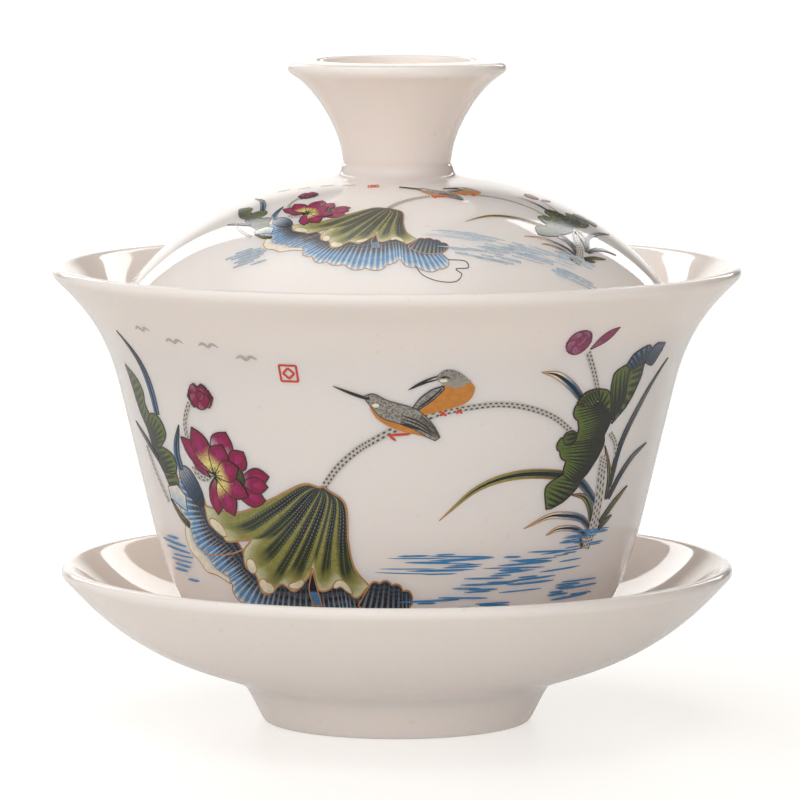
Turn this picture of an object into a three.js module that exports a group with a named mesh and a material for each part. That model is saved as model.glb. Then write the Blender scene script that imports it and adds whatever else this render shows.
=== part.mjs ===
// A porcelain gaiwan: a lidded tea bowl on its saucer. Three loose pieces of revolution, in millimetres, +Z up.
// The origin is the centre of the saucer's foot, on the table.
import * as THREE from "three";

// ---- Driving dimensions ----
const SEGMENTS = 60; // facets round every piece, so that neighbours stay parallel where they meet
const SEAT_GAP = 0.1; // air left under the bowl's foot, so that two faces never share a plane

// Saucer, heights above the table
const SAUCER_RIM_RADIUS = 50.9;
const SAUCER_HEIGHT = 24.1;
const SAUCER_WALL = 2.4;
const SAUCER_FOOT_RADIUS = 20.5; // at the table
const SAUCER_FOOT_INNER_RADIUS = 18.3;
const SAUCER_RECESS_HEIGHT = 4; // of the underside inside the foot
const SAUCER_FOOT_TOP_RADIUS = 22.6; // the foot widens upwards to the dish
const SAUCER_FOOT_HEIGHT = 4.75;
const SAUCER_WELL_RADIUS = 22.4; // the sunk floor that locates the bowl's foot
const SAUCER_WELL_FLOOR = 6.8;

// Bowl, heights above its own foot
const BOWL_RIM_RADIUS = 52;
const BOWL_HEIGHT = 62.65;
const BOWL_WALL = 2.1;
const BOWL_FOOT_RADIUS = 21.2;
const BOWL_FOOT_INNER_RADIUS = 18.6;
const BOWL_RECESS_HEIGHT = 2.6; // of the underside inside the foot
const BOWL_FOOT_HEIGHT = 4.2;
const BOWL_HIP_RADIUS = 36.5; // where the round bottom becomes the straight wall
const BOWL_HIP_HEIGHT = 21.5;
const BOWL_SHOULDER_RADIUS = 42.4; // where the straight wall starts to flare
const BOWL_SHOULDER_HEIGHT = 46.1;

// Lid, heights above its own edge
const LID_SEAT_HEIGHT = 54; // of the lid's edge, above the bowl's foot
const LID_EDGE_RADIUS = 43.3;
const LID_WALL = 2.2;
const DOME_HEIGHT = 21.9; // to the flat ring round the knob
const KNOB_NECK_RADIUS = 8.2;
const KNOB_NECK_HEIGHT = 24.4; // where the knob was luted to the collar
const KNOB_RIM_RADIUS = 16.5;
const KNOB_MOUTH_RADIUS = 12.1;
const KNOB_HEIGHT = 39.6;

// ---- Material ----
function porcelain() {
  return new THREE.MeshStandardMaterial({
    color: 0xf1ece6,
    roughness: 0.12,
    metalness: 0,
  });
}

// ---- Outline helpers: points are (radius, height), and every outline runs with the clay on its left ----
const at = (radius, height) => new THREE.Vector2(radius, height);

function bezier(from, pullFrom, pullTo, to, steps) {
  return new THREE.CubicBezierCurve(from, pullFrom, pullTo, to).getPoints(steps);
}

// Half a circle that rounds off an edge between two points, bulging ahead of the outline's direction.
function roundedEdge(from, to, steps) {
  const centre = from.clone().add(to).multiplyScalar(0.5);
  const start = Math.atan2(from.y - centre.y, from.x - centre.x);
  const radius = from.distanceTo(to) / 2;
  return new THREE.EllipseCurve(centre.x, centre.y, radius, radius, start, start + Math.PI)
    .getPoints(steps)
    .slice(1, -1);
}

// The same curve moved to its left by a wall's thickness, which may change evenly from its start to its end.
function offsetLeft(points, startThickness, endThickness = startThickness) {
  return points.map((point, i) => {
    const before = points[Math.max(i - 1, 0)];
    const after = points[Math.min(i + 1, points.length - 1)];
    const along = after.clone().sub(before).normalize();
    const share = i / (points.length - 1);
    const thickness = startThickness + (endThickness - startThickness) * share;
    return at(point.x - along.y * thickness, point.y + along.x * thickness);
  });
}

// A ring foot with a flat resting face, entered from the middle of the piece's underside.
function ringFoot(recessHeight, innerRadius, outerRadius) {
  const chamfer = 0.4;
  const wallFillet = 1;
  return [
    at(0, recessHeight),
    at(innerRadius - 2 * wallFillet, recessHeight),
    at(innerRadius - 0.9 * wallFillet, recessHeight - 0.35 * wallFillet),
    at(innerRadius - 0.5 * wallFillet, recessHeight - 1.2 * wallFillet),
    at(innerRadius - 0.7 * chamfer, chamfer),
    at(innerRadius, 0),
    at(outerRadius - chamfer, 0),
    at(outerRadius, chamfer),
  ];
}

function revolve(name, outline) {
  const geometry = new THREE.LatheGeometry(outline, SEGMENTS).rotateX(Math.PI / 2);
  const mesh = new THREE.Mesh(geometry, porcelain());
  mesh.name = name;
  return mesh;
}

// ---- Saucer: a dish on a ring foot, with a sunk well for the bowl and a rolled rim ----
function saucer() {
  const foot = ringFoot(SAUCER_RECESS_HEIGHT, SAUCER_FOOT_INNER_RADIUS, SAUCER_FOOT_RADIUS);
  const rimRoundness = 1.1;
  const rimCentre = at(SAUCER_RIM_RADIUS - rimRoundness, SAUCER_HEIGHT - rimRoundness);
  const rim = new THREE.EllipseCurve(
    rimCentre.x,
    rimCentre.y,
    rimRoundness,
    rimRoundness,
    -Math.PI / 6,
    (2 * Math.PI) / 3,
  ).getPoints(6);
  const underside = bezier(
    at(SAUCER_FOOT_TOP_RADIUS, SAUCER_FOOT_HEIGHT),
    at(24.3, 8.6),
    at(37.8, 6.9),
    rim[0].clone().add(at(-0.25, -0.25)),
    11,
  );
  const wellEdge = SAUCER_WELL_RADIUS + 2.4;
  const inside = offsetLeft(underside, SAUCER_WALL)
    .filter((point) => point.x > wellEdge + 1)
    .reverse()
    .slice(1);
  const well = [
    at(wellEdge, SAUCER_WELL_FLOOR + 2.25),
    at(SAUCER_WELL_RADIUS + 1.5, SAUCER_WELL_FLOOR + 1.9),
    at(SAUCER_WELL_RADIUS + 1, SAUCER_WELL_FLOOR + 1.2),
    at(SAUCER_WELL_RADIUS + 0.7, SAUCER_WELL_FLOOR + 0.4),
    at(SAUCER_WELL_RADIUS, SAUCER_WELL_FLOOR),
    at(0, SAUCER_WELL_FLOOR),
  ];
  return revolve("saucer", [...foot, ...underside, ...rim, ...inside, ...well]);
}

// ---- Bowl: a round-hipped cup on a ring foot, nearly straight in the wall and flared at the lip ----
function bowl() {
  const foot = ringFoot(BOWL_RECESS_HEIGHT, BOWL_FOOT_INNER_RADIUS, BOWL_FOOT_RADIUS);
  const hip = bezier(
    at(BOWL_FOOT_RADIUS + 0.8, BOWL_FOOT_HEIGHT),
    at(32.2, BOWL_FOOT_HEIGHT + 0.1),
    at(35.95, 19.5),
    at(BOWL_HIP_RADIUS, BOWL_HIP_HEIGHT),
    8,
  );
  const wall = bezier(
    hip.at(-1),
    at(37.05, 23.5),
    at(41.85, 44),
    at(BOWL_SHOULDER_RADIUS, BOWL_SHOULDER_HEIGHT),
    4,
  ).slice(1);
  const flare = bezier(
    wall.at(-1),
    at(44.85, 55.1),
    at(BOWL_RIM_RADIUS - 2, BOWL_HEIGHT - 3.7),
    at(BOWL_RIM_RADIUS - 0.25, BOWL_HEIGHT - 1.8),
    10,
  ).slice(1);
  const outside = [...hip, ...wall, ...flare];
  const inside = offsetLeft(outside, BOWL_WALL + 0.9, BOWL_WALL).reverse();
  const lip = roundedEdge(outside.at(-1), inside[0], 7);
  const floorHeight = inside.at(-1).y;
  return revolve("bowl", [...foot, ...outside, ...lip, ...inside, at(0, floorHeight - 0.3)]);
}

// ---- Lid: a domed shell with a hollow trumpet knob, which is also the foot it stands on upside down ----
function lid() {
  const dome = bezier(
    at(LID_EDGE_RADIUS - 0.3, 1.6),
    at(36, 14.1),
    at(22.5, DOME_HEIGHT - 0.8),
    at(KNOB_NECK_RADIUS + 0.9, DOME_HEIGHT),
    12,
  );
  const underside = offsetLeft(dome, LID_WALL, LID_WALL + 0.4).reverse();
  const edge = roundedEdge(underside.at(-1), dome[0], 6);
  const collar = [
    at(KNOB_NECK_RADIUS + 0.35, DOME_HEIGHT + 0.75),
    at(KNOB_NECK_RADIUS + 0.15, DOME_HEIGHT + 1.8),
    at(KNOB_NECK_RADIUS - 0.2, KNOB_NECK_HEIGHT - 0.45),
  ];
  const rimRoundness = 1;
  const rimStart = -Math.PI / 3;
  const knobRim = new THREE.EllipseCurve(
    KNOB_RIM_RADIUS - rimRoundness,
    KNOB_HEIGHT - 0.3 - rimRoundness,
    rimRoundness,
    rimRoundness,
    rimStart,
    Math.PI / 2.2,
  ).getPoints(6);
  const neck = bezier(
    at(KNOB_NECK_RADIUS, KNOB_NECK_HEIGHT),
    at(KNOB_NECK_RADIUS + 0.05, KNOB_NECK_HEIGHT + 4.3),
    at(12.5, KNOB_HEIGHT - 3.9),
    knobRim[0],
    9,
  ).slice(0, -1);
  const mouth = [
    at(KNOB_MOUTH_RADIUS + 0.7, KNOB_HEIGHT),
    at(KNOB_MOUTH_RADIUS + 0.2, KNOB_HEIGHT - 0.15),
  ];
  const hollow = bezier(
    at(KNOB_MOUTH_RADIUS - 0.1, KNOB_HEIGHT - 0.6),
    at(9.5, KNOB_HEIGHT - 4.4),
    at(5.6, KNOB_NECK_HEIGHT + 4.5),
    at(5.4, KNOB_NECK_HEIGHT + 0.5),
    8,
  );
  return revolve("lid", [
    at(0, underside[0].y),
    ...underside,
    ...edge,
    ...dome,
    ...collar,
    ...neck,
    ...knobRim,
    ...mouth,
    ...hollow,
    at(4.4, KNOB_NECK_HEIGHT - 0.6),
    at(0, KNOB_NECK_HEIGHT - 0.8),
  ]);
}

// ---- Assembly: the bowl's foot stands in the saucer's well, and the lid's edge hangs in the bowl's flare ----
const lidPiece = lid();
lidPiece.position.z = LID_SEAT_HEIGHT;

const covered = new THREE.Group();
covered.add(bowl(), lidPiece);
covered.position.z = SAUCER_WELL_FLOOR + SEAT_GAP;

const gaiwan = new THREE.Group();
gaiwan.add(saucer(), covered);

export default gaiwan;
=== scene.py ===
"""A porcelain gaiwan with a lotus-pond pattern in enamel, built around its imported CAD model.

Porcelain: each piece is a fine, smooth surface of revolution, turned from its CAD node's own outline.
Enamel: every motif is a few thin raised coats on the glaze, drawn in millimetres on the unrolled surface.
"""

import math
import random
from bisect import bisect_right

import bmesh
import bpy
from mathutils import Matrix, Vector


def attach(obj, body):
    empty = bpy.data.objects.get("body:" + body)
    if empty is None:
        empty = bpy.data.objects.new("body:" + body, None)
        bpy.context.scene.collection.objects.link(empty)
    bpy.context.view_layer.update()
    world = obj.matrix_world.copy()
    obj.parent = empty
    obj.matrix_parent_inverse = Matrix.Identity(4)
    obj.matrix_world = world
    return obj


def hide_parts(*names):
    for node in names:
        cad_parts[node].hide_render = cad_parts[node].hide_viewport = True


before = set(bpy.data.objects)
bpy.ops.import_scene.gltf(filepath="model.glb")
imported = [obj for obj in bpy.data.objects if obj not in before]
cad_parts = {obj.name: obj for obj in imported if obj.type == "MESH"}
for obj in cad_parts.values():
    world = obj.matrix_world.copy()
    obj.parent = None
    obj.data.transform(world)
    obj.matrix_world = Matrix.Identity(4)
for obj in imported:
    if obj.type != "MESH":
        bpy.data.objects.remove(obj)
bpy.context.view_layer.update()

MM = 0.001
TURNS = 288  # facets round the smooth porcelain
SMOOTHING = 5  # smooth points for each span of a CAD outline
ON_AXIS = 1e-7  # m: a point no further out than this is on the axis
BARE_RING = 0.12  # mm of bare clay up from the bottom of a foot

# Enamel, in mm
ENAMEL_LIFT = 0.03  # how far the first coat stands above the glaze
COAT = 0.003  # how much more each coat painted over it adds
ENAMEL_ROOT = -0.05  # where a coat ends, inside the porcelain
BRUSH_TIP = 0.02  # the least width of any stroke
SCALLOP_STEPS = 8  # points round one scallop
OUTLINE = 0.17  # the width of the inked line round a motif

# Where the drawing goes, in mm
BOWL_WRAP = 40  # the radius round which the drawing is true to size
BOWL_LEAF = (-11, 40)  # the top of the big leaf: across from the front, and up from the table
LID_LEAF = (-1.1, 27.4)  # the same place in the lid's drawing
LID_SCALE = 0.58
LID_CONE = 52  # from the dome's edge to the point of the cone that the dome is closest to
LID_COLLAR = 88.6  # above the table

# Paint
PAINT_ROUGHNESS = 0.14
GROOVE_START = 0.40  # share of a stripe before its groove starts
GROOVE_WIDENING = 0.28  # how much sooner it starts where the thin lines are strongest
GROOVE_SOFTNESS = 0.08
THIN_LINES = 4  # in each stripe
PRICKLE_ROW = 0.6  # mm between rows of prickles
PRICKLE_SPACING = 0.8  # mm between prickles along a stem

# Light: how bright each part of the studio looks
BACKDROP = 1.1
ROOM = 0.01
FLOOR_GLOW = 0.24
FLOOR_GLARE = 0.32  # more glow that only the camera sees, for an overexposed white sweep
LEFT_SOFTBOX = 4.2
RIGHT_SOFTBOX = 3.7
# Each glow is (direction, cosine at its edge, cosine at its core, light)
GLOWS = [
    ((-0.06, 1, 0.1), 0.92, 0.985, 1.3),
    ((-0.2, 0, 1), 0.80, 0.98, 2.0),
    ((0, -1, 0.2), 0.30, 0.95, 1.3),
    ((-1, 0.2, 0.2), 0.50, 0.95, 0.7),
]

# Studio, in metres, with the front at -Y
SOFTBOX_PLACE = (0.52, 1.0, 0.65)  # of the right one; the left one mirrors it
SOFTBOX_TARGET = (0, 0, 0.08)
SOFTBOX_WIDTH = 0.18
SOFTBOX_HEIGHT = 0.8
FLOOR_REACH = 3

# Camera
LENS = 267.7  # mm
SENSOR = 36  # mm
CAMERA_TARGET = (0.45, 0, 48.8)  # mm
CAMERA_DISTANCE = 901.8  # mm
CAMERA_ELEVATION = 6.17  # degrees above the level
NEAREST_SEEN = 0.01  # m


# ---------------------------------------------------------------- colours


def rgb(code):
    """A linear colour from a screen colour such as #a3145f."""
    channels = [int(code[i : i + 2], 16) / 255 for i in (1, 3, 5)]
    return Vector([c / 12.92 if c <= 0.04045 else ((c + 0.055) / 1.055) ** 2.4 for c in channels])


WHITE_CLAY = rgb("#f4eae4")
COOL_CLAY = rgb("#f3e9e5")
BISCUIT = rgb("#e4d9c8")
MAGENTA = rgb("#920549")
DEEP_MAGENTA = rgb("#5c0830")
ROSE = rgb("#a8226a")
ORCHID = rgb("#b57492")
BLUSH = rgb("#e2c3d2")
DUSTY_ROSE = rgb("#8e3b5e")
PLUM = rgb("#6f3450")
STAMEN = rgb("#f0de86")
OLIVE = rgb("#8f8d4b")
LEAF = rgb("#5f712d")
PALE_LEAF = rgb("#cfceab")
LEAF_DARK = rgb("#171c14")
MOSS = rgb("#2e3717")
CREAM = rgb("#f0e5cf")
BLUE = rgb("#4c7fae")
DEEP_BLUE = rgb("#24405f")
NAVY = rgb("#0f1828")
PALE_BLUE = rgb("#a3bfd6")
WATER = rgb("#3f86bb")
PALE_WATER = rgb("#c3d2de")
GOLD = rgb("#b58457")
BROWN = rgb("#34201a")
SLATE = rgb("#8d9498")
STEM_GREY = rgb("#c4beb7")
PRICKLE = rgb("#544e49")
FEATHER = rgb("#a19b92")
CHARCOAL = rgb("#2f2c2a")
ORANGE = rgb("#c98234")
RED = rgb("#d24530")
FAINT_GREY = rgb("#bdb6b0")
STUDIO_WHITE = rgb("#fffdfa")
TABLE = rgb("#c0bfbd")
TABLE_CLOUD = rgb("#bcbbb9")


# ---------------------------------------------------------------- materials


class Shader:
    """A material's nodes, with one short call for each node."""

    def __init__(self, name):
        self.material = bpy.data.materials.new(name)
        self.material.use_nodes = True
        self.nodes = self.material.node_tree.nodes
        self.links = self.material.node_tree.links
        self.surface = self.nodes["Principled BSDF"]

    def feed(self, node, socket, value):
        """Joins a socket to another node's output, or sets it to a plain value."""
        target = node.inputs[socket]
        if isinstance(value, bpy.types.NodeSocket):
            self.links.new(value, target)
        elif isinstance(value, Vector) and target.type == "RGBA":
            target.default_value = (*value, 1)
        else:
            target.default_value = value

    def node(self, kind, sockets, output=0, **settings):
        """Adds a node with its inputs fed and its settings set, and gives one of its outputs."""
        made = self.nodes.new(kind)
        for setting, value in settings.items():
            setattr(made, setting, value)
        for socket, value in sockets.items():
            self.feed(made, socket, value)
        return made.outputs[output]

    def math(self, operation, a, b=0.0):
        return self.node("ShaderNodeMath", {0: a, 1: b}, operation=operation)

    def rest(self, value):
        """What a share leaves of the whole."""
        return self.math("SUBTRACT", 1.0, value)

    def band(self, value, low, high):
        """0 below low and 1 above high, with a soft step between."""
        sockets = {"Value": value, "From Min": low, "From Max": high}
        return self.node("ShaderNodeMapRange", sockets, interpolation_type="SMOOTHSTEP")

    def blend(self, share, a, b):
        return self.node("ShaderNodeMix", {0: share, 6: a, 7: b}, output=2, data_type="RGBA")

    def noise(self, scale, detail=2.0):
        place = self.node("ShaderNodeTexCoord", {}, output=3)
        return self.node("ShaderNodeTexNoise", {"Vector": place, "Scale": scale, "Detail": detail})

    def attribute(self, name, output):
        return self.node("ShaderNodeAttribute", {}, output=output, attribute_name=name)

    def bump(self, height, distance, strength):
        sockets = {"Height": height, "Distance": distance, "Strength": strength}
        self.feed(self.surface, "Normal", self.node("ShaderNodeBump", sockets))


def porcelain():
    """Warm white porcelain under a clear glaze, with a bare, matt ring where a foot stood in the kiln."""
    shader = Shader("porcelain")
    bare = shader.attribute("bare", output=2)
    clouds = shader.noise(scale=28)
    clay = shader.blend(clouds, WHITE_CLAY, COOL_CLAY)
    specks = shader.band(shader.noise(scale=900, detail=0), 0.80, 0.84)
    clay = shader.blend(shader.math("MULTIPLY", specks, 0.35), clay, BISCUIT)
    grain = shader.noise(scale=2600)
    biscuit = shader.blend(shader.math("MULTIPLY", grain, 0.5), BISCUIT, WHITE_CLAY)
    shader.feed(shader.surface, "Base Color", shader.blend(bare, clay, biscuit))
    glaze = shader.math("ADD", shader.math("MULTIPLY", clouds, 0.05), 0.03)
    matt = shader.math("MULTIPLY", bare, 0.6)
    shader.feed(shader.surface, "Roughness", shader.math("ADD", glaze, matt))
    shader.feed(shader.surface, "Subsurface Weight", 0.5)
    shader.feed(shader.surface, "Subsurface Radius", (1.0, 0.75, 0.5))
    shader.feed(shader.surface, "Subsurface Scale", 4 * MM)
    ripple = shader.noise(scale=160, detail=1)
    relief = shader.math("ADD", ripple, shader.math("MULTIPLY", bare, grain))
    shader.bump(relief, 0.02 * MM, strength=0.4)
    return shader.material


def enamel(name, mottle, streaks=None):
    """Painted enamel. Each coat carries its own tint, its shade for the grooves, and where the grooves run.

    mottle is how strongly the shade also shows as fine flecks. streaks is the colour of the thin lines in a
    groove, for paint that has them.
    """
    shader = Shader(name)
    tint = shader.attribute("tint", output=0)
    shade = shader.attribute("shade", output=0)
    grain = shader.attribute("grain", output=1)
    across, along, strength = shader.node("ShaderNodeSeparateXYZ", {0: grain}).node.outputs
    stripe = shader.math("FRACT", across)
    start = shader.math("SUBTRACT", GROOVE_START, shader.math("MULTIPLY", strength, GROOVE_WIDENING))
    opening = shader.band(stripe, start, shader.math("ADD", start, GROOVE_SOFTNESS))
    closing = shader.band(stripe, 1.0 - GROOVE_SOFTNESS, 1.0)
    groove = shader.math("SUBTRACT", opening, closing)
    flecks = shader.band(shader.noise(scale=3600, detail=1), 0.46, 0.58)
    speckled = shader.math("MAXIMUM", groove, shader.math("MULTIPLY", flecks, mottle))
    colour = shader.blend(speckled, tint, shade)
    if streaks:
        colour = shader.blend(thin_lines(shader, across, along, groove, strength), colour, streaks)
    edge = shader.math("ABSOLUTE", shader.math("SUBTRACT", stripe, start))
    ink = shader.rest(shader.band(edge, 0.02, 0.05))
    colour = shader.blend(shader.math("MULTIPLY", ink, strength), colour, BROWN)
    wear = shader.math("ADD", shader.math("MULTIPLY", shader.noise(scale=1400), 0.5), 0.75)
    worn = shader.node("ShaderNodeHueSaturation", {"Color": colour, "Value": wear})
    shader.feed(shader.surface, "Base Color", worn)
    shader.feed(shader.surface, "Roughness", PAINT_ROUGHNESS)
    shader.bump(flecks, 0.01 * MM, strength=0.3)
    return shader.material


def thin_lines(shader, across, along, groove, strength):
    """Where the thin, broken lines along a groove show."""
    place = shader.math("FRACT", shader.math("MULTIPLY", across, THIN_LINES))
    offset = shader.math("ABSOLUTE", shader.math("SUBTRACT", place, 0.5))
    dashes = shader.band(shader.math("SINE", shader.math("MULTIPLY", along, math.tau)), -0.9, 0.4)
    thin = shader.math("MULTIPLY", shader.rest(shader.band(offset, 0.08, 0.2)), dashes)
    return shader.math("MULTIPLY", shader.math("MULTIPLY", thin, groove), strength)


def dotted(name):
    """Enamel with one dark dot in each cell of the grain: the prickles down a lotus stem."""
    shader = Shader(name)
    tint = shader.attribute("tint", output=0)
    shade = shader.attribute("shade", output=0)
    grain = shader.attribute("grain", output=1)
    across, along, _ = shader.node("ShaderNodeSeparateXYZ", {0: grain}).node.outputs
    row = shader.math("FLOOR", across)
    stagger = shader.math("ADD", along, shader.math("MULTIPLY", row, 0.5))
    x = shader.math("SUBTRACT", shader.math("FRACT", across), 0.5)
    y = shader.math("SUBTRACT", shader.math("FRACT", stagger), 0.5)
    squared = shader.math("ADD", shader.math("MULTIPLY", x, x), shader.math("MULTIPLY", y, y))
    dot = shader.rest(shader.band(squared, 0.05, 0.12))
    shader.feed(shader.surface, "Base Color", shader.blend(dot, tint, shade))
    shader.feed(shader.surface, "Roughness", PAINT_ROUGHNESS)
    return shader.material


# ---------------------------------------------------------------- porcelain


def meridian(node):
    """A CAD node's outline as (radius, height) points, from the axis underneath to the axis on top."""
    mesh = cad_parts[node].data
    spots = [(round(v.co.x, 6), round(v.co.y, 6), round(v.co.z, 6)) for v in mesh.vertices]
    neighbours = {}
    for edge in mesh.edges:
        a, b = (spots[i] for i in edge.vertices)
        if a != b and a[1] == b[1] == 0 and min(a[0], b[0]) >= 0:
            neighbours.setdefault(a, set()).add(b)
            neighbours.setdefault(b, set()).add(a)
    ends = [spot for spot, joined in neighbours.items() if len(joined) == 1]
    path = [min(ends, key=lambda spot: spot[2])]
    while len(path) < len(neighbours):
        path.extend(neighbours[path[-1]] - set(path[-2:]))
    return [Vector((x, z)) for x, _, z in path]


def rounded(outline):
    """A smooth curve that keeps to a CAD outline: a cubic B-spline, mirrored where it meets the axis."""
    mirrored = [Vector((-point.x, point.y)) for point in (outline[1], outline[-2])]
    knots = [mirrored[0], *outline, mirrored[1]]
    curve = []
    for i in range(len(outline)):
        for step in range(SMOOTHING if i < len(outline) - 1 else 1):
            t = step / SMOOTHING
            weights = ((1 - t) ** 3, 3 * t**3 - 6 * t**2 + 4, -3 * t**3 + 3 * t**2 + 3 * t + 1, t**3)
            near = knots[i : i + 4] if i < len(outline) - 1 else [*knots[-3:], knots[-1]]
            curve.append(sum((w / 6 * knot for w, knot in zip(weights, near)), Vector((0, 0))))
    return curve


def turn(name, outline, bare_height):
    """A surface of revolution. Its foot is bare clay up to bare_height above its lowest point."""
    points = []
    rings = []
    for spot in outline:
        count = TURNS if spot.x > ON_AXIS else 1
        rings.append([len(points) + k for k in range(count)])
        for k in range(count):
            angle = math.tau * k / TURNS
            points.append((spot.x * math.sin(angle), -spot.x * math.cos(angle), spot.y))
    faces = []
    for low, high in zip(rings, rings[1:]):
        for k in range(TURNS):
            corners = [low[k % len(low)], low[(k + 1) % len(low)]]
            corners += [high[(k + 1) % len(high)], high[k % len(high)]]
            faces.append(list(dict.fromkeys(corners)))
    mesh = bpy.data.meshes.new(name)
    mesh.from_pydata(points, [], faces)
    mesh.shade_smooth()
    foot = min(point[2] for point in points) + bare_height
    bare = mesh.attributes.new("bare", "FLOAT", "POINT")
    bare.data.foreach_set("value", [1.0 if point[2] < foot else 0.0 for point in points])
    piece = bpy.data.objects.new(name, mesh)
    bpy.context.scene.collection.objects.link(piece)
    return piece


def porcelain_piece(node, material, bare_height):
    """The smooth piece that stands in for a CAD node. It returns the outline it was turned from."""
    outline = rounded(meridian(node))
    piece = turn(node + "_porcelain", outline, bare_height)
    piece.data.materials.append(material)
    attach(piece, node)
    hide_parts(node)
    return outline


# ---------------------------------------------------------------- the painted surface


class Skin:
    """The outside of a porcelain piece.

    A place on the drawing is (across, up), in mm as it is on the bowl's wall.
    """

    def __init__(self, body, outline, ups):
        self.body = body
        self.outline = outline
        self.ups = ups

    def surface(self, angle, up, lift):
        """The point at an angle round the axis from the front, lifted off the glaze by lift mm."""
        last = len(self.ups) - 2
        i = min(max(bisect_right(self.ups, up) - 1, 0), last)
        share = (up - self.ups[i]) / (self.ups[i + 1] - self.ups[i])
        along = self.outline[i + 1] - self.outline[i]
        outward = Vector((along.y, -along.x)).normalized()
        spot = self.outline[i] + share * along + lift * MM * outward
        return (spot.x * math.sin(angle), -spot.x * math.cos(angle), spot.y)


class BowlSkin(Skin):
    """The drawing wraps round the bowl: up is the height above the table."""

    water = WATER
    paleness = 0.0

    def __init__(self, outline):
        lip = max(range(len(outline)), key=lambda i: outline[i].y)
        side = [outline[0]]
        for spot in outline[:lip]:
            if spot.y > side[-1].y:
                side.append(spot)
        super().__init__("bowl", side, [spot.y / MM for spot in side])

    def at(self, across, up, lift):
        return self.surface(across / BOWL_WRAP, up, lift)


class LidSkin(Skin):
    """A smaller drawing laid flat on the dome, as on a cone cut open.

    up is the distance along the dome from its edge.
    """

    water = PALE_WATER
    paleness = 0.05  # this smaller print is thinner, so more of the white shows through; the paling also stands in for the glaze's sheen washing over the dome, a painted sheen

    def __init__(self, outline):
        edge = max(range(len(outline)), key=lambda i: outline[i].x)
        dome = [spot for spot in outline[edge:] if spot.y < LID_COLLAR * MM]
        ups = [0.0]
        for a, b in zip(dome, dome[1:]):
            ups.append(ups[-1] + (b - a).length / MM)
        super().__init__("lid", dome, ups)

    def at(self, across, up, lift):
        x = LID_LEAF[0] + LID_SCALE * (across - BOWL_LEAF[0])
        y = LID_CONE - LID_LEAF[1] - LID_SCALE * (up - BOWL_LEAF[1])
        opened = LID_CONE / (self.outline[0].x / MM)
        return self.surface(math.atan2(x, y) * opened, LID_CONE - math.hypot(x, y), lift)


def spline(points, count):
    """count points along a smooth curve through the given ones."""
    knots = [Vector(point) for point in points]
    knots = [2 * knots[0] - knots[1], *knots, 2 * knots[-1] - knots[-2]]
    spans = len(points) - 1
    curve = []
    for step in range(count):
        place = step / (count - 1) * spans
        i = min(int(place), spans - 1)
        t = place - i
        a, b, c, d = knots[i : i + 4]
        even = 2 * b + (c - a) * t
        squared = (2 * a - 5 * b + 4 * c - d) * t**2
        cubed = (3 * b - 3 * c + d - a) * t**3
        curve.append(0.5 * (even + squared + cubed))
    return curve


def ribbon(path, width, columns=3):
    """A grid along a path, with blunt tips. width(t) is its full width at the share t of the way along."""
    grid = []
    for i, spot in enumerate(path):
        along = path[min(i + 1, len(path) - 1)] - path[max(i - 1, 0)]
        side = Vector((along.y, -along.x)).normalized()
        half = max(width(i / (len(path) - 1)), BRUSH_TIP) / 2
        grid.append([spot + side * half * (2 * j / (columns - 1) - 1) for j in range(columns)])
    return grid


def patch(near, far, sides=None, rows=14, columns=40):
    """A grid from one curve to another. Its two sides are straight unless their curves are given too."""
    near, far = spline(near, columns), spline(far, columns)
    left, right = sides or ([near[0], far[0]], [near[-1], far[-1]])
    left, right = spline(left, rows), spline(right, rows)
    grid = []
    for i in range(rows):
        t = i / (rows - 1)
        row = []
        for j in range(columns):
            s = j / (columns - 1)
            across = left[i].lerp(right[i], s)
            along = near[j].lerp(far[j], t)
            corners = near[0].lerp(near[-1], s).lerp(far[0].lerp(far[-1], s), t)
            row.append(across + along - corners)
        grid.append(row)
    return grid


def scalloped(points, count, depth):
    """A curve through the points, with count scallops that bulge to its right."""
    curve = spline(points, SCALLOP_STEPS * count + 1)
    edge = []
    for i, spot in enumerate(curve):
        along = curve[min(i + 1, len(curve) - 1)] - curve[max(i - 1, 0)]
        bulge = depth * abs(math.sin(math.pi * i / SCALLOP_STEPS))
        edge.append(spot + bulge * Vector((along.y, -along.x)).normalized())
    return edge


def border(grid):
    """The closed loop round a grid."""
    left = [row[0] for row in grid]
    right = [row[-1] for row in grid]
    return [*left, *grid[-1][1:-1], *reversed(right), *reversed(grid[0][:-1])]


def oval(width):
    """Widest in the middle and round at both ends."""
    return lambda t: width * math.sqrt(max(1 - (2 * t - 1) ** 2, 0))


def petal_shape(width):
    """Narrow at the base, widest beyond the middle, and pointed."""
    return lambda t: width * math.sin(math.pi * min(t + 0.02, 1) ** 1.3) ** 0.8


def blade_shape(width):
    """Full at the base, swelling a little, then running out to a point."""
    return lambda t: width * (1 - t**2.2) * (0.75 + 0.6 * t)


def gradient(colours, t):
    """The colour at the share t of the way through a list of evenly spaced ones."""
    place = t * (len(colours) - 1)
    i = min(int(place), len(colours) - 2)
    return colours[i].lerp(colours[i + 1], place - i)


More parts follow.
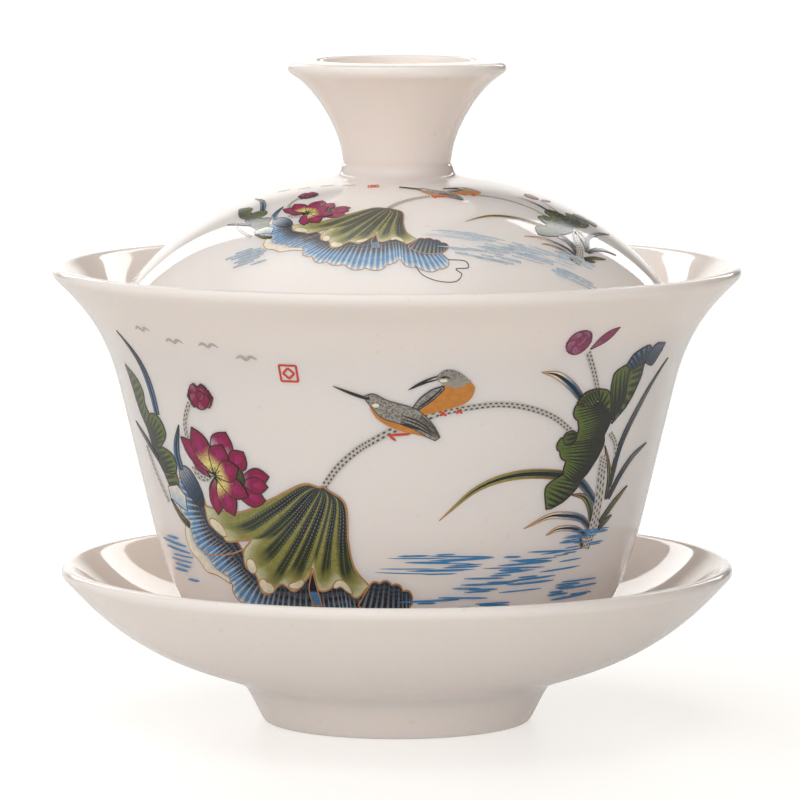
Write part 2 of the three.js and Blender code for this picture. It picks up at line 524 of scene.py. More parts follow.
class Enamel:
    """The coats of one part of the drawing on one skin: one piece that moves with the skin's body."""

    def __init__(self, name, skin, material, coats):
        self.name = name
        self.skin = skin
        self.material = material
        self.points = []
        self.faces = []
        self.tints = []
        self.shades = []
        self.grains = []
        self.coats = coats

    def paled_by_sheen_and_thin_print(self, inks):
        """Colours as the skin's print shows them: paled towards the white clay, partly a painted sheen for
        the glaze's reflections washing over the dome and partly for its thinner print.
        """
        return [ink.lerp(WHITE_CLAY, self.skin.paleness) for ink in inks]

    def lay(self, grid, tint, shade=None, veins=0, ribs=0, lines=0):
        """One closed coat over a grid, raised from inside the porcelain.

        Its colours change from its first row to its last. veins is how many stripes lie side by side in a
        row, ribs how many dashes or dots run along each of them, and lines how strong the thin lines are in
        the first row.
        """
        # the skin's inks, paled towards the white clay for its painted sheen and thinner print
        tint, shade = self.paled_by_sheen_and_thin_print(tint), self.paled_by_sheen_and_thin_print(shade or tint)
        rows, columns = len(grid), len(grid[0])
        lift = ENAMEL_LIFT + COAT * self.coats
        self.coats += 1
        start = len(self.points)
        for level in (lift, ENAMEL_ROOT):
            for i, row in enumerate(grid):
                t = i / (rows - 1)
                for j, (across, up) in enumerate(row):
                    self.points.append(self.skin.at(across, up, level))
                    self.tints.extend((*gradient(tint, t), 1))
                    self.shades.extend((*gradient(shade, t), 1))
                    self.grains.extend((veins * j / (columns - 1), ribs * t, lines * (1 - t)))
        rim = [i * columns for i in range(rows)]
        rim += [(rows - 1) * columns + j for j in range(1, columns)]
        rim += [i * columns + columns - 1 for i in range(rows - 2, -1, -1)]
        rim += list(range(columns - 2, 0, -1))
        below = rows * columns
        for i in range(rows - 1):
            for j in range(columns - 1):
                k = start + i * columns + j
                face = [k, k + 1, k + columns + 1, k + columns]
                self.faces.append(face)
                self.faces.append([corner + below for corner in reversed(face)])
        for a, b in zip(rim, [*rim[1:], rim[0]]):
            self.faces.append([start + a, start + b, start + b + below, start + a + below])

    def line(self, path, width, colour):
        """A line of even width."""
        self.lay(ribbon(path, lambda t: width, columns=2), [colour, colour])

    def stroke(self, points, width, colour):
        """A brush stroke that swells in its middle."""
        self.lay(ribbon(spline(points, 12), oval(width)), [colour, colour])

    def outlined(self, grid, tint, shade, veins=0, ribs=0, lines=0, ink=BROWN, width=OUTLINE):
        """A coat with an inked line round it."""
        self.lay(grid, tint, shade, veins, ribs, lines)
        self.line(border(grid), width, ink)

    def spot(self, centre, size, tint):
        """A round or oval dab; size is its full width and height."""
        reach = Vector((size[0] / 2, 0))
        path = spline([Vector(centre) - reach, Vector(centre) + reach], 9)
        self.lay(ribbon(path, oval(size[1]), columns=5), [tint, tint])

    def finish(self):
        """Makes the piece from the coats laid so far."""
        mesh = bpy.data.meshes.new(self.name)
        mesh.from_pydata(self.points, [], self.faces)
        for name, kind, values in (
            ("tint", "FLOAT_COLOR", self.tints),
            ("shade", "FLOAT_COLOR", self.shades),
            ("grain", "FLOAT_VECTOR", self.grains),
        ):
            layer = mesh.attributes.new(name, kind, "POINT")
            layer.data.foreach_set("vector" if kind == "FLOAT_VECTOR" else "color", values)
        work = bmesh.new()
        work.from_mesh(mesh)
        bmesh.ops.recalc_face_normals(work, faces=work.faces)
        work.to_mesh(mesh)
        work.free()
        mesh.materials.append(self.material)
        piece = bpy.data.objects.new(self.name, mesh)
        bpy.context.scene.collection.objects.link(piece)
        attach(piece, self.skin.body)


# ---------------------------------------------------------------- motifs

PETAL = [ORCHID, MAGENTA, MAGENTA, MAGENTA]
HEART_PETAL = [STAMEN, STAMEN, MAGENTA, MAGENTA, MAGENTA]
FAINT_PETAL = [BLUSH, BLUSH, MAGENTA, MAGENTA]
DUSTY_PETAL = [ORCHID, DUSTY_ROSE, DUSTY_ROSE]


def petal(coat, base, tip, width, tint, ink=BROWN):
    """A petal with a darker edge and a lighter middle."""
    base, tip = Vector(base), Vector(tip)
    shape = ribbon(spline([base, tip], 14), petal_shape(1.1 * width), columns=7)
    coat.outlined(shape, tint, [DEEP_MAGENTA] * 2, ink=ink)
    middle = spline([base.lerp(tip, 0.42), base.lerp(tip, 0.86)], 9)
    coat.lay(ribbon(middle, petal_shape(0.42 * width), columns=5), [ROSE, tint[-1]])


def bud(coat, centre, size, tint, ink=BROWN):
    """A round bud: petals folded over each other round its middle."""
    coat.spot(centre, size, DEEP_MAGENTA)
    for degrees, reach in ((20, 1.0), (95, 1.0), (165, 1.0), (235, 1.0), (305, 1.0), (60, 0.45)):
        angle = math.radians(degrees)
        out = Vector((size[0] * math.cos(angle), size[1] * math.sin(angle))) * 0.5 * reach
        side = Vector((-out.y, out.x)) * 0.75
        middle = Vector(centre) + 0.45 * out
        shape = ribbon(spline([middle - side, middle, middle + side], 10), oval(0.5 * size[1]), columns=5)
        coat.outlined(shape, tint, [DEEP_MAGENTA, DEEP_MAGENTA], ink=ink, width=0.14)


def blade(coat, path, width, tint, ink=BROWN):
    """A reed or grass blade, from its root to its tip, with a dark midrib."""
    curve = spline(path, 24)
    coat.outlined(ribbon(curve, blade_shape(width), columns=5), tint, tint, ink=ink, width=0.13)
    coat.lay(ribbon(curve[:-2], blade_shape(0.42 * width)), [NAVY, LEAF_DARK])


def stem(coat, path, width):
    """A lotus stem: a grey band with rows of prickles."""
    curve = spline(path, 60)
    length = sum((b - a).length for a, b in zip(curve, curve[1:]))
    band = ribbon(curve, lambda t: width, columns=5)
    rows = max(2, round(width / PRICKLE_ROW))
    prickles = round(length / PRICKLE_SPACING)
    coat.lay(band, [STEM_GREY, STEM_GREY], [PRICKLE, PRICKLE], veins=rows, ribs=prickles)


def tapered(width):
    """Even, but for a short taper at each end."""
    return lambda t: width * min(1, 5 * t, 5 * (1 - t)) + BRUSH_TIP


def ripples(coat, centre, spread, count, seed):
    """A patch of fine, nearly level brush strokes, spaced out evenly from its bottom to its top."""
    chance = random.Random(seed)
    for i in range(count):
        level = (i + chance.uniform(0.2, 0.8)) / count * 2 - 1
        middle = Vector(centre) + Vector((chance.uniform(-1, 1) * spread[0], level * spread[1]))
        half = Vector((chance.uniform(1.4, 5.4), 0))
        half.y = chance.uniform(-0.05, 0.03) * half.x
        path = spline([middle - half, middle, middle + half], 14)
        width = chance.uniform(0.1, 0.24)
        coat.lay(ribbon(path, tapered(width)), [coat.skin.water] * 2)


def far_bird(coat, spot, size):
    """A distant bird: two faint wing strokes."""
    for side in (-1, 1):
        wing = [spot, spot + Vector((0.7 * side, 0.5)) * size, spot + Vector((1.5 * side, 0.1)) * size]
        coat.lay(ribbon(spline(wing, 10), blade_shape(0.45 * size)), [FAINT_GREY, FAINT_GREY])


# ---------------------------------------------------------------- the drawing, a piece for each part


def leaf_underside(coat):
    """The big leaf's curled underside, ribbed in blue, behind and below its rim."""
    inner = [(-33.4, 38), (-32, 33.4), (-27.4, 31), (-25, 27), (-20, 26), (-13, 27), (-7, 26), (-2, 24.6)]
    outer = [
        *[(-38.4, 39.6), (-39.8, 36.2), (-38, 32.6), (-38, 29.6), (-35.4, 28.1), (-34, 26.4)],
        *[(-31, 25.4), (-30, 22.8), (-27, 19.4), (-23, 17.6), (-18, 15.2), (-12.6, 15)],
        *[(-9, 17.8), (-5, 15.2), (0.4, 14.8), (2.8, 18.4)],
    ]
    shape = patch(inner, scalloped(outer, 16, 0.9), rows=18, columns=257)
    tints = [DEEP_BLUE, DEEP_BLUE, SLATE, PALE_BLUE, PALE_BLUE, CREAM]
    shades = [NAVY, NAVY, NAVY, DEEP_BLUE, BLUE, BLUE, PALE_BLUE]
    coat.outlined(shape, tints, shades, veins=58, ribs=8, lines=0.8, ink=GOLD, width=0.24)
    fringe(coat)
    coat.line(spline([(-36, 28.3), (-33, 28.4), (-29, 29), (-25.4, 30.2)], 24), 0.22, GOLD)
    lobe_top = [(-42.6, 37.9), (-40.1, 38.6), (-37.8, 37)]
    lobe_bottom = [(-42.6, 36.2), (-40, 35.2), (-38.2, 34.6)]
    coat.outlined(patch(lobe_top, lobe_bottom, rows=6), [CREAM, PALE_BLUE], [CREAM, PALE_BLUE])
    scroll = ribbon(spline([(-37.6, 41.4), (-36, 39.2), (-33.6, 35.8)], 16), oval(3.8), columns=13)
    tints = [PALE_BLUE, SLATE, DEEP_BLUE, NAVY]
    coat.outlined(scroll, tints, [SLATE, DEEP_BLUE, NAVY], veins=6, ribs=8, lines=0.6)
    leaf_tip(coat)
    outline = [
        *[(-5, 15.6), (-3, 12.4), (0.6, 10.8), (4.6, 11.2), (6, 13.8)],
        *[(4.6, 15.4), (7.4, 16.4), (6.6, 18.6), (2.6, 18.4)],
    ]
    coat.line(spline(outline, 60), 0.2, BROWN)


def fringe(coat):
    """The pale edge that hangs from the underside, on the left."""
    top = [(-38.4, 33), (-37.8, 29.8), (-35.2, 28.2), (-33.8, 26.5), (-30.8, 25.2)]
    bottom = [
        *[(-39.2, 33.2), (-40.3, 31), (-39.9, 28.6), (-37.8, 27)],
        *[(-36.4, 25.6), (-33.6, 25.2), (-31, 24.2)],
    ]
    coat.outlined(patch(top, bottom, rows=6), [PALE_BLUE, CREAM, CREAM], [CREAM] * 2, ink=GOLD)


def leaf_tip(coat):
    """The underside's far end, on the right."""
    top = scalloped([(2.6, 23.6), (1, 24.6), (-0.8, 25.5), (-2.8, 25.7), (-4.6, 25.2)], 4, 0.45)
    shape = patch(top, [(2.6, 22.6), (1.4, 20.8), (-1, 20), (-4, 20.4), (-6.6, 22.2)])
    grooves = {"veins": 11, "ribs": 8, "lines": 0.5}
    coat.outlined(shape, [DEEP_BLUE, SLATE], [NAVY, NAVY], **grooves, ink=GOLD, width=0.24)


def lotus_leaf(coat):
    """The big leaf, drooping from its stem to a scalloped rim with pale, curled lobes."""
    crown = [(-11.6, 40.1), (-11, 40.2), (-10.4, 39.8)]
    rim = [
        *[(-33.3, 35.9), (-32.9, 33.2), (-30.6, 32.3), (-29.4, 30.8), (-24.6, 31.5)],
        *[(-26.3, 29.6), (-26.4, 27.2), (-24.6, 26), (-24.2, 23.5), (-22.4, 23.4)],
        *[(-19.9, 25), (-17.6, 24), (-14.8, 26.3), (-13.8, 27.7), (-13.2, 24.5)],
        *[(-11.3, 24.6), (-9.4, 26), (-7, 23.4), (-4.6, 25.3)],
    ]
    left = [crown[0], (-14.4, 40.4), (-19.8, 37.9), (-26.5, 35.4), rim[0]]
    right = [crown[-1], (-7.8, 37.6), (-7.6, 32), (-6.8, 28), rim[-1]]
    shape = patch(crown, rim, (left, right), rows=40, columns=150)
    tints = [MOSS, OLIVE, OLIVE, OLIVE, OLIVE, OLIVE, PALE_LEAF]
    shades = [LEAF_DARK, LEAF_DARK, LEAF_DARK, LEAF_DARK, MOSS, MOSS, OLIVE, PALE_LEAF]
    coat.outlined(shape, tints, shades, veins=8, ribs=46, lines=1.0, ink=GOLD, width=0.28)
    for path, width in (
        ([(-32.8, 33.8), (-31.2, 33), (-29.4, 31.6)], 1.7),
        ([(-25.2, 28.6), (-25.2, 27.4), (-24.6, 26.4)], 1.9),
        ([(-23.6, 25.6), (-23.2, 24.4), (-21.4, 24.2)], 2.0),
        ([(-18.6, 24.8), (-17, 25), (-15.6, 25.8)], 1.1),
        ([(-10.6, 24.9), (-9.2, 25.6), (-7.4, 24)], 1.1),
    ):
        curl = ribbon(spline(path, 12), oval(width), columns=5)
        coat.outlined(curl, [CREAM, PALE_LEAF], [CREAM] * 2, ink=GOLD, width=0.18)
    fold_left = [(-14.6, 22), (-14.9, 24.4), (-14.1, 27)]
    fold_right = [(-13, 22), (-13.4, 24.4), (-13.8, 27)]
    fold = patch(fold_left, fold_right, rows=5, columns=20)
    coat.outlined(fold, [BLUE, BLUE], [NAVY, NAVY], veins=1, ink=GOLD, width=0.2)


def lotus_flower(coat):
    """The open flower, from its back petals to its front ones, and the bud above it."""
    heart = Vector((-29.5, 40.9))
    petal(coat, (-28.9, 42.6), (-26.2, 47.6), 3.9, FAINT_PETAL)
    petal(coat, (-26.2, 38.6), (-20.7, 37.6), 2.7, PETAL)
    petal(coat, (-24.6, 40.8), (-19.6, 41.3), 2.5, PETAL)
    petal(coat, (-24.6, 40.1), (-20, 39.7), 2.3, PETAL)
    petal(coat, (-26.4, 41.6), (-23.5, 44.8), 3.1, PETAL)
    pod = ribbon(spline([(-25.9, 42.8), (-24.3, 39.6)], 10), oval(1.9), columns=5)
    coat.outlined(pod, [OLIVE, MOSS], [LEAF_DARK] * 2, veins=5)
    petal(coat, (-30.8, 40.6), (-34, 42.6), 1.1, PETAL)
    petal(coat, (-30, 41.1), (-35.8, 46.1), 2.6, PETAL)
    petal(coat, (-30, 41.2), (-32.9, 47.8), 3.4, HEART_PETAL)
    petal(coat, (-29.9, 40.4), (-31.4, 37.6), 0.9, PETAL)
    petal(coat, (-29.8, 40.5), (-30.4, 34.9), 2.6, PETAL)
    petal(coat, (-29.3, 40.6), (-26.9, 35), 3.2, HEART_PETAL)
    petal(coat, (-29.6, 41.3), (-27.2, 45.6), 3.5, HEART_PETAL)
    petal(coat, (-29.4, 40.6), (-23.7, 38.1), 2.8, HEART_PETAL)
    petal(coat, heart, (-24.8, 42.3), 3.0, HEART_PETAL)
    for degrees in range(0, 360, 40):
        angle = math.radians(degrees)
        tip = heart + Vector((1.5 * math.cos(angle), 1.3 * math.sin(angle)))
        coat.line(spline([heart, tip], 5), 0.13, MOSS)
    bud(coat, (-29.9, 52.6), (5.0, 3.4), PETAL)


def dusty_buds(coat):
    """The fainter bud over the right-hand leaf, with one petal already open."""
    petal(coat, (26.8, 60.1), (30.1, 63.2), 1.3, DUSTY_PETAL, PLUM)
    bud(coat, (24.4, 61.3), (4.0, 3.8), DUSTY_PETAL, PLUM)


def stems(coat):
    """The long stem that the birds sit on, in two lengths, then the short ones on both sides."""
    stem(coat, [(-10.8, 40.4), (-8.6, 43.2), (-5.8, 45.7), (-3.5, 47.2), (0.5, 49.4), (5.6, 51.3)], 1.1)
    stem(coat, [(5.6, 51.3), (10, 52.1), (14.4, 52.4), (18.8, 51.7), (23.1, 50.1), (26.6, 47.8)], 0.9)
    stem(coat, [(-32.4, 51.5), (-33.6, 49.7), (-34.3, 47.8), (-34.3, 45.9)], 0.8)
    stem(coat, [(-34.2, 41.8), (-33.4, 40.5), (-32, 40.1), (-30.8, 40.6)], 0.9)
    stem(coat, [(-47.6, 43.6), (-46.2, 40), (-43.6, 35.6)], 0.8)
    stem(coat, [(30.3, 53.8), (28.7, 56.6), (26.6, 59.6)], 0.85)
    stem(coat, [(35, 46.7), (36.7, 45), (37.9, 42), (37.6, 38.4)], 0.9)
    stem(coat, [(34.6, 43.4), (34.7, 40.8), (35.4, 36), (35.2, 32), (34.4, 29.3)], 1.9)


def right_bird(coat):
    """The bird further back, facing left."""
    belly_top = [(6.4, 55.6), (5, 54.2), (3.8, 52.8), (3, 51.6)]
    belly_bottom = [(9.8, 56.2), (10.6, 54.8), (9.2, 52.7), (3.4, 51)]
    coat.lay(patch(belly_top, belly_bottom), [ORANGE, ORANGE])
    head_top = [(5, 56.8), (6.4, 57.9), (8.2, 57.5), (10, 56.1)]
    head_bottom = [(5.2, 56.5), (6.3, 55.7), (8.2, 55.2), (9.9, 56)]
    coat.lay(patch(head_top, head_bottom), [FEATHER, FEATHER], [CHARCOAL, FEATHER])
    wing_top = [(6.3, 55.5), (4.7, 54.9), (3.2, 53.7), (2.2, 52.3)]
    wing_bottom = [(6.4, 55), (5, 53.5), (3.9, 52.6), (2.7, 51.8)]
    wing = patch(wing_top, wing_bottom)
    coat.outlined(wing, [FEATHER, SLATE], [CHARCOAL, CHARCOAL], ink=CHARCOAL, width=0.15)
    coat.stroke([(6.3, 55.4), (4.6, 53.6), (2.6, 52)], 0.3, CHARCOAL)
    coat.spot((6.2, 56.3), (1.1, 0.5), CREAM)
    coat.stroke([(5.6, 56.7), (6.4, 56.9), (7.2, 56.5)], 0.22, CHARCOAL)
    coat.spot((6.2, 56.8), (0.4, 0.4), CHARCOAL)
    coat.stroke([(5.3, 57), (3.4, 56.1), (1.5, 54.9)], 0.28, CHARCOAL)
    coat.stroke([(5.5, 56.5), (3.6, 55.9), (1.5, 54.9)], 0.2, CHARCOAL)


def left_bird(coat):
    """The bird in front, facing left with its tail down to the right."""
    back = [(-4.4, 54), (-3.1, 54.3), (-1.2, 53.3), (2, 52.3), (3.6, 51.3), (5.1, 49.6), (6.1, 47.8)]
    front = [(-4.2, 53.3), (-3.2, 52), (-2, 50.7), (0.8, 49.7), (2.6, 48.9), (4, 48), (5.4, 47.3)]
    breast = [(-3.9, 53), (-3.4, 51.6), (-2.4, 50.3), (-0.9, 49.4), (0.8, 48.7), (2, 48.4), (2.8, 48.6)]
    coat.lay(patch(front, breast, rows=6), [ORANGE, ORANGE])
    coat.outlined(patch(back, front), [FEATHER, FEATHER], [CHARCOAL] * 2, ink=PRICKLE, width=0.13)
    coat.spot((-2.9, 52.6), (1.0, 0.6), CREAM)
    coat.spot((-3.9, 53.7), (0.5, 0.4), CHARCOAL)
    tail = patch([(3.4, 51.2), (5.1, 49.5), (6, 47.9)], [(2.8, 49.4), (4.2, 48.2), (5.4, 47.4)])
    coat.lay(tail, [PRICKLE, FEATHER], [CHARCOAL] * 2)
    for drop in (0, 0.5, 1):
        feather = [(0.6, 51.2 - drop), (3, 50.2 - drop), (5.4, 48.3 - drop / 2)]
        coat.stroke(feather, 0.24, CHARCOAL)
    coat.stroke([(0.4, 49.9), (2.2, 49.4), (3.6, 48.9)], 0.4, CHARCOAL)
    beak = ribbon(spline([(-4, 53.6), (-6, 54.3), (-8.6, 55.4)], 12), blade_shape(0.5))
    coat.lay(beak, [CHARCOAL, CHARCOAL])


def birds(coat):
    """Two perched birds with long beaks, orange below and speckled grey above."""
    right_bird(coat)
    left_bird(coat)
    for claw in (
        [(1.9, 48.3), (-1.2, 48.2)],
        [(-1.2, 48.2), (-0.1, 47.3)],
        [(6, 51.6), (6.9, 51)],
        [(6.6, 51.6), (5.9, 51)],
        [(8.3, 51.9), (9.1, 51.3)],
        [(8.9, 52), (8.2, 51.3)],
    ):
        coat.stroke(claw, 0.34, RED)


def side_leaves(coat):
    """The folded leaves on both sides.

    Each fold is (light edge, shaded edge, tints and shades, veins). Those with the most veins are scalloped.
    """
    hatching = [LEAF, MOSS, LEAF_DARK, LEAF_DARK]
    heavy = [LEAF, MOSS, LEAF_DARK, LEAF_DARK, LEAF_DARK]
    plain = ([LEAF, LEAF], hatching)
    young = ([LEAF, LEAF, MOSS], hatching)
    deep = ([LEAF, LEAF, MOSS, LEAF_DARK], heavy)
    turned = ([MOSS, LEAF], heavy)
    for near, far, (tints, shades), veins in (
        (
            [(-48, 55.9), (-45.3, 54.2), (-44.1, 52.2), (-44.4, 50.3), (-43.6, 48.6)],
            [(-48.2, 55.6), (-47.9, 52.5), (-47.2, 49.1), (-45.7, 46.4)],
            young,
            9,
        ),
        (
            [(-41, 40.7), (-39.3, 40.4), (-38.9, 38.6)],
            [(-44.2, 41.6), (-43, 39.9), (-42.2, 38.1)],
            plain,
            4,
        ),
        (
            [(-43.2, 43.9), (-41.2, 43.9), (-39.1, 43.1), (-38.6, 41.8), (-39.2, 40.4), (-40.7, 40)],
            [(-45.5, 45.2), (-44.4, 42.2), (-43, 40.2), (-42, 40.1)],
            deep,
            9,
        ),
        (
            [(-44.6, 47.6), (-43.2, 48.9), (-41.1, 48.7), (-39.9, 47.2), (-40.1, 45.6), (-42.6, 43.7)],
            [(-45.7, 46.6), (-45.2, 45), (-44.2, 43.6)],
            deep,
            9,
        ),
        (
            [(36.2, 56.3), (36.6, 54), (36.7, 51.6), (34.8, 48.3)],
            [(39.4, 56.8), (39.6, 54.4), (38, 51), (34.9, 48.2)],
            young,
            7,
        ),
        (
            [(33, 54.3), (33.1, 56), (35, 57), (36, 56.4)],
            [(33.4, 52), (34.6, 48.8), (36.8, 51.4), (36.5, 54.4)],
            deep,
            9,
        ),
        (
            [(30.7, 53.8), (32.8, 53.2), (33.8, 51), (34.1, 49.4)],
            [(31, 52), (31.8, 51.3), (32.8, 50.6), (33.8, 49.2)],
            young,
            5,
        ),
        (
            [(24.2, 36.1), (23.5, 39), (24.3, 40.2), (26.7, 41.3)],
            [(25.3, 36.2), (27.6, 37.2), (29.8, 39), (30.1, 40.1)],
            young,
            8,
        ),
        (
            [(25, 46.8), (24.9, 45.2), (25.9, 44), (26.8, 42.8), (26.6, 41)],
            [(33.6, 46.8), (33.8, 44.7), (31.4, 41), (29.1, 39.6)],
            deep,
            15,
        ),
        (
            [(26.8, 51.6), (27.2, 49.8), (28.4, 48.2), (27.8, 46.9), (28.2, 46)],
            [(31.6, 51.7), (34.4, 49.2), (33.6, 46.4)],
            deep,
            15,
        ),
        (
            [(26.9, 51.9), (28.2, 53.4), (30.5, 53.9)],
            [(28.3, 51.3), (30.1, 51.4), (31, 52.6)],
            turned,
            7,
        ),
    ):
        edge = scalloped(near, 3, 0.4) if veins > 9 else near
        coat.outlined(patch(edge, far, columns=49), tints, shades, veins=veins, width=0.2)
    knuckle = ribbon(spline([(25.4, 46.6), (28, 46.8)], 10), oval(2.2), columns=5)
    coat.outlined(knuckle, [LEAF, MOSS], hatching, veins=3)
    for near, far in (
        (
            [(39.3, 58), (40.4, 59.7), (42.8, 59.7)],
            [(39.4, 57), (41.8, 56.5), (42.9, 58.6)],
        ),
        (
            [(35.1, 57), (36, 58.7), (38.6, 59.7), (39.8, 58.8)],
            [(36.6, 56.1), (38.4, 56.7), (39.2, 57.6), (39.8, 58.7)],
        ),
    ):
        coat.outlined(patch(near, far), [BLUE, DEEP_BLUE, DEEP_BLUE], [NAVY, NAVY], veins=8, width=0.2)


def reeds(coat):
    """Grass blades, each from its root to its tip."""
    cool = [MOSS, DEEP_BLUE, SLATE, DEEP_BLUE]
    dark = [DEEP_BLUE, BLUE, CREAM, GOLD]
    green = [MOSS, OLIVE, GOLD]
    tall = [BLUE, BLUE, DEEP_BLUE, BROWN]
    arching = [BLUE, MOSS, OLIVE, OLIVE]
    for path, width, tints, ink in (
        ([(27.8, 52.4), (25.4, 54.6), (22.6, 56.4), (20, 57)], 1.5, dark, GOLD),
        ([(34.7, 36.2), (30, 39.9), (25, 41.3), (18, 41.6), (12, 39.8), (6.5, 35.2)], 1.7, arching, GOLD),
        ([(34.5, 33.6), (33.4, 35.8), (31.6, 37.4), (28.7, 38)], 1.2, green, BROWN),
        ([(34.6, 32.4), (31.6, 34.2), (27.7, 34.9), (24.7, 34.9), (20.6, 33.4)], 1.3, dark, GOLD),
        ([(34.2, 31.2), (31, 32.6), (27.3, 32.9), (25, 32.1)], 1.0, dark, GOLD),
        ([(33.6, 29.6), (32.8, 30.6), (32.3, 31.9)], 0.9, green, GOLD),
        ([(-41.1, 49), (-41.3, 52.8), (-42.2, 56.9), (-44.7, 61.3)], 1.6, tall, BROWN),
        ([(-37.5, 41), (-37.7, 43.9), (-35.8, 47.9)], 1.5, [BLUE, BLUE, BROWN], BROWN),
        ([(-44, 42), (-47, 44.6), (-50.4, 47)], 1.0, cool, BROWN),
        ([(-38.4, 32.4), (-40.4, 33.6), (-42.6, 36)], 1.1, green, BROWN),
        ([(37.3, 36.6), (36.8, 40.4), (34.3, 44.9)], 0.9, green, BROWN),
        ([(37.4, 38.4), (38.3, 45), (41.8, 51.1), (46.4, 57)], 1.2, cool, BROWN),
        ([(37.8, 36.7), (40.1, 40.2), (42.9, 42.6), (46.8, 44.1)], 1.1, cool, BROWN),
        ([(36.8, 33), (39.7, 35.7), (43, 38)], 1.1, green, BROWN),
        ([(36.8, 32.2), (39.8, 33.9)], 0.8, green, BROWN),
    ):
        blade(coat, path, width, tints, ink)


def water(coat):
    """The pond, as patches of ripples."""
    ripples(coat, (6.5, 28.6), (5.5, 1.6), 16, seed=3)
    ripples(coat, (26, 28.2), (7, 1.7), 17, seed=5)
    ripples(coat, (33.5, 31), (3.2, 1.3), 9, seed=8)
    ripples(coat, (19, 25.2), (7.5, 1.4), 11, seed=13)
    ripples(coat, (10, 21.8), (8, 1.6), 10, seed=21)
    ripples(coat, (33, 23.2), (4, 1.4), 8, seed=34)
    ripples(coat, (-44.5, 27), (3, 3.5), 8, seed=55)


def brush_marks(coat):
    """Faint distant birds, and a red square with a diamond in it."""
    for spot in ((-37, 62), (-31.6, 60.6), (-25.8, 60.4), (-20.4, 58.8)):
        far_bird(coat, Vector(spot), 1.1)
    centre = Vector((-14.6, 57.1))
    for reach, first in ((1.7, 45), (0.8, 0)):
        angles = [math.radians(first + 90 * k) for k in range(5)]
        corners = [centre + reach * Vector((math.cos(a), math.sin(a))) for a in angles]
        for a, b in zip(corners, corners[1:]):
            coat.line(spline([a, b], 6), 0.3, RED)


def painted(skin):
    """The whole drawing on one skin: one piece for each part, moving with the skin's porcelain.

    Each part starts at its own number of coats, so that it clears whatever it is painted over.
    """
    for part, paint, coats in (
        (water, PLAIN_PAINT, 0),
        (reeds, LEAF_PAINT, 0),
        (side_leaves, LEAF_PAINT, 6),
        (stems, STEM_PAINT, 18),
        (dusty_buds, PETAL_PAINT, 12),
        (leaf_underside, LEAF_PAINT, 0),
        (lotus_leaf, LEAF_PAINT, 12),
        (lotus_flower, PETAL_PAINT, 14),
        (birds, FEATHER_PAINT, 28),
        (brush_marks, PLAIN_PAINT, 0),
    ):
        coat = Enamel(skin.body + "_" + part.__name__, skin, paint, coats)
        part(coat)
        coat.finish()


# ---------------------------------------------------------------- the studio


def softbox(name, place, radiance):
    """A rectangular area light, as bright as radiance wherever it is seen reflected in the glaze."""
    light = bpy.data.lights.new(name, "AREA")
    light.shape = "RECTANGLE"
    light.size = SOFTBOX_WIDTH
    light.size_y = SOFTBOX_HEIGHT
    light.energy = radiance * math.pi * SOFTBOX_WIDTH * SOFTBOX_HEIGHT
    lamp = bpy.data.objects.new(name, light)
    lamp.location = place
    lamp.rotation_euler = (Vector(SOFTBOX_TARGET) - Vector(place)).to_track_quat("-Z", "Y").to_euler()
    bpy.context.scene.collection.objects.link(lamp)


def softboxes():
    """One behind the piece on each side, for the streaks down its sides."""
    x, y, z = SOFTBOX_PLACE
    softbox("left_softbox", (-x, y, z), LEFT_SOFTBOX)
    softbox("right_softbox", (x, y, z), RIGHT_SOFTBOX)


def floor():
    """A pale, faintly glowing table top that runs out of sight, like the lit sweep of a product studio."""
    mesh = bpy.data.meshes.new("table_top")
    corners = [(x * FLOOR_REACH, y * FLOOR_REACH, 0) for x, y in ((-1, -1), (1, -1), (1, 1), (-1, 1))]
    mesh.from_pydata(corners, [], [(0, 1, 2, 3)])
    top = bpy.data.objects.new("table_top", mesh)
    bpy.context.scene.collection.objects.link(top)
    shader = Shader("table_top")
    shade = shader.blend(shader.noise(scale=3), TABLE, TABLE_CLOUD)
    shader.feed(shader.surface, "Base Color", shade)
    shader.feed(shader.surface, "Emission Color", STUDIO_WHITE)
    glare = shader.math("MULTIPLY", shader.node("ShaderNodeLightPath", {}, output=0), FLOOR_GLARE)
    shader.feed(shader.surface, "Emission Strength", shader.math("ADD", glare, FLOOR_GLOW))
    shader.feed(shader.surface, "Roughness", 0.45)
    mesh.materials.append(shader.material)


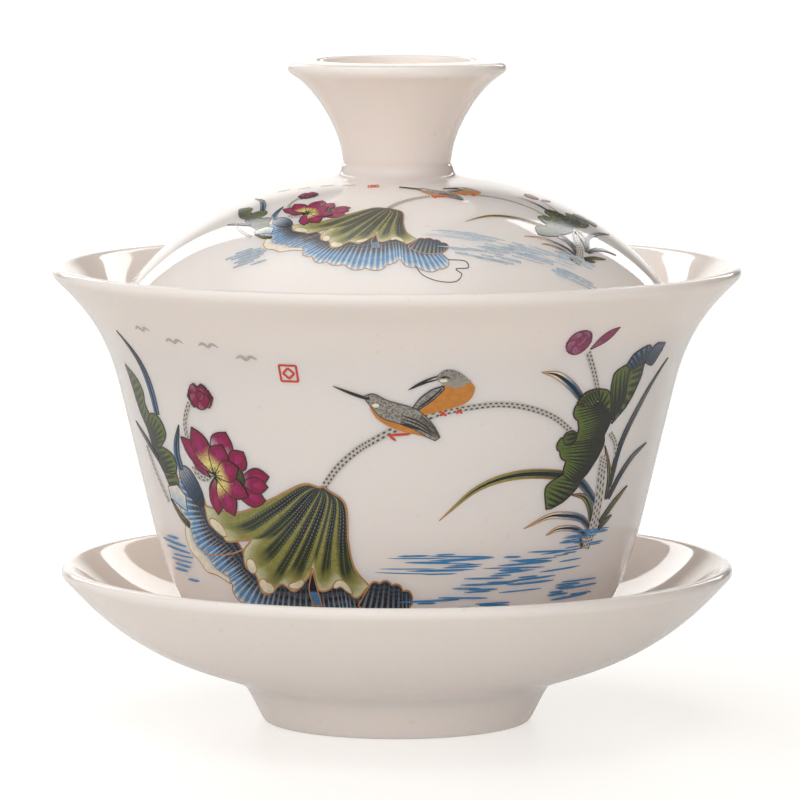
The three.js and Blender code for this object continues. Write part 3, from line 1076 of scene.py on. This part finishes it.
def surroundings():
    """Soft glows round a dim room, with a plain white backdrop wherever the camera sees past the piece."""
    world = bpy.data.worlds.new("studio")
    bpy.context.scene.world = world
    world.use_nodes = True
    nodes = world.node_tree.nodes
    links = world.node_tree.links
    nodes.clear()
    place = nodes.new("ShaderNodeTexCoord")
    total = ROOM
    for axis, edge, core, strength in GLOWS:
        facing = nodes.new("ShaderNodeVectorMath")
        facing.operation = "DOT_PRODUCT"
        links.new(place.outputs["Generated"], facing.inputs[0])
        facing.inputs[1].default_value = Vector(axis).normalized()
        glow = nodes.new("ShaderNodeMapRange")
        glow.interpolation_type = "SMOOTHSTEP"
        links.new(facing.outputs["Value"], glow.inputs["Value"])
        glow.inputs["From Min"].default_value = edge
        glow.inputs["From Max"].default_value = core
        glow.inputs["To Max"].default_value = strength
        add = nodes.new("ShaderNodeMath")
        links.new(glow.outputs[0], add.inputs[0])
        if isinstance(total, float):
            add.inputs[1].default_value = total
        else:
            links.new(total, add.inputs[1])
        total = add.outputs[0]
    ray = nodes.new("ShaderNodeLightPath")
    seen = nodes.new("ShaderNodeMix")
    links.new(ray.outputs["Is Camera Ray"], seen.inputs[0])
    links.new(total, seen.inputs[2])
    seen.inputs[3].default_value = BACKDROP
    background = nodes.new("ShaderNodeBackground")
    background.inputs["Color"].default_value = (*STUDIO_WHITE, 1)
    links.new(seen.outputs[0], background.inputs["Strength"])
    output = nodes.new("ShaderNodeOutputWorld")
    links.new(background.outputs[0], output.inputs[0])


def camera():
    """A long lens from a little above, straight at the front."""
    lens = bpy.data.cameras.new("camera")
    lens.lens = LENS
    lens.sensor_width = SENSOR
    lens.clip_start = NEAREST_SEEN
    rig = bpy.data.objects.new("camera", lens)
    elevation = math.radians(CAMERA_ELEVATION)
    away = Vector((0, -math.cos(elevation), math.sin(elevation)))
    rig.location = Vector(CAMERA_TARGET) * MM + CAMERA_DISTANCE * MM * away
    rig.rotation_euler = (-away).to_track_quat("-Z", "Y").to_euler()
    bpy.context.scene.collection.objects.link(rig)
    bpy.context.scene.camera = rig


# ---------------------------------------------------------------- assembly

GLAZE = porcelain()
LEAF_PAINT = enamel("leaf_enamel", mottle=0.25, streaks=SLATE)
PETAL_PAINT = enamel("petal_enamel", mottle=0.35)
FEATHER_PAINT = enamel("feather_enamel", mottle=0.6)
PLAIN_PAINT = enamel("plain_enamel", mottle=0.2)
STEM_PAINT = dotted("stem_enamel")

porcelain_piece("saucer", GLAZE, BARE_RING * MM)
painted(BowlSkin(porcelain_piece("bowl", GLAZE, BARE_RING * MM)))
painted(LidSkin(porcelain_piece("lid", GLAZE, 0.0)))

floor()
surroundings()
softboxes()
camera()
bpy.context.scene.view_settings.view_transform = "Standard"
